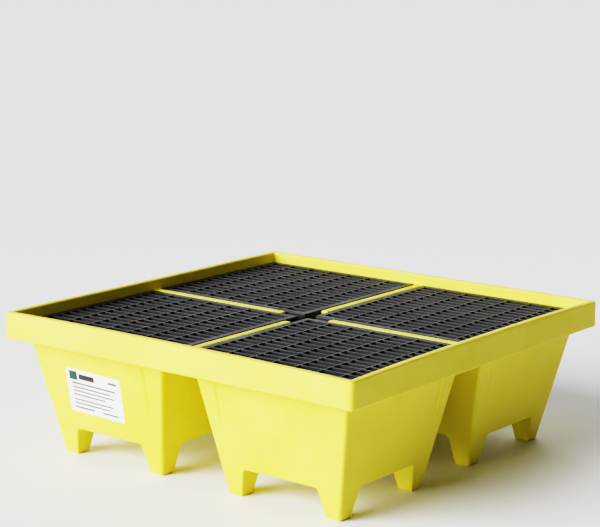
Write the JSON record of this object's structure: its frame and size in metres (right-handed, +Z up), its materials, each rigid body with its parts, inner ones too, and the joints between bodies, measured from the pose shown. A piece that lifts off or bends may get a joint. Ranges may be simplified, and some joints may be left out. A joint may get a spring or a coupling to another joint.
{
  "type": "spill containment pallet",
  "caption": "Square spill containment pallet with moulded sump wells on fork-clear feet, lift-off deck grates, support pedestals and an adhesive label.",
  "frame": {"origin": "on the floor, under the centre of the square pallet", "axes": "+Z up; +X to the right and -Y to the front, the face whose left well carries the label"},
  "size_m": [1.283, 1.283, 0.438],
  "materials": {
    "sump_yellow": "rotomoulded polyethylene, fine satin orange-peel skin",
    "grate_black": "injection-moulded polyethylene, satin, lightly scuffed on top",
    "pedestal_black": "moulded polyethylene, satin",
    "label_white": null
  },
  "bodies": {
    "base": {"sump_tray": "sump_yellow", "sump_well_front_left": "sump_yellow", "sump_well_front_right": "sump_yellow", "sump_well_back_left": "sump_yellow", "sump_well_back_right": "sump_yellow", "sump_feet_front_left": "sump_yellow", "sump_feet_front_right": "sump_yellow", "sump_feet_back_left": "sump_yellow", "sump_feet_back_right": "sump_yellow", "label": "label_white"},
    "lifted_grate_front_left": {"grate_front_left": "grate_black"},
    "lifted_pedestal_front_left": {"pedestal_front_left": "pedestal_black"},
    "lifted_grate_front_right": {"grate_front_right": "grate_black"},
    "lifted_pedestal_front_right": {"pedestal_front_right": "pedestal_black"},
    "lifted_grate_back_left": {"grate_back_left": "grate_black"},
    "lifted_pedestal_back_left": {"pedestal_back_left": "pedestal_black"},
    "lifted_grate_back_right": {"grate_back_right": "grate_black"},
    "lifted_pedestal_back_right": {"pedestal_back_right": "pedestal_black"}
  },
  "joints": [
    {"name": "grate_front_left_lift", "type": "slide", "parent": "base", "child": "lifted_grate_front_left", "axis": [0, 0, 1], "range_m": [0, 0.48]},
    {"name": "pedestal_front_left_lift", "type": "slide", "parent": "base", "child": "lifted_pedestal_front_left", "axis": [0, 0, 1], "range_m": [0, 0.36]},
    {"name": "grate_front_right_lift", "type": "slide", "parent": "base", "child": "lifted_grate_front_right", "axis": [0, 0, 1], "range_m": [0, 0.48]},
    {"name": "pedestal_front_right_lift", "type": "slide", "parent": "base", "child": "lifted_pedestal_front_right", "axis": [0, 0, 1], "range_m": [0, 0.36]},
    {"name": "grate_back_left_lift", "type": "slide", "parent": "base", "child": "lifted_grate_back_left", "axis": [0, 0, 1], "range_m": [0, 0.48]},
    {"name": "pedestal_back_left_lift", "type": "slide", "parent": "base", "child": "lifted_pedestal_back_left", "axis": [0, 0, 1], "range_m": [0, 0.36]},
    {"name": "grate_back_right_lift", "type": "slide", "parent": "base", "child": "lifted_grate_back_right", "axis": [0, 0, 1], "range_m": [0, 0.48]},
    {"name": "pedestal_back_right_lift", "type": "slide", "parent": "base", "child": "lifted_pedestal_back_right", "axis": [0, 0, 1], "range_m": [0, 0.36]}
  ],
  "couplings": [
    {"joint": "pedestal_front_left_lift", "follows": "grate_front_left_lift", "ratio": 0.75},
    {"joint": "pedestal_front_right_lift", "follows": "grate_front_right_lift", "ratio": 0.75},
    {"joint": "pedestal_back_left_lift", "follows": "grate_back_left_lift", "ratio": 0.75},
    {"joint": "pedestal_back_right_lift", "follows": "grate_back_right_lift", "ratio": 0.75}
  ]
}
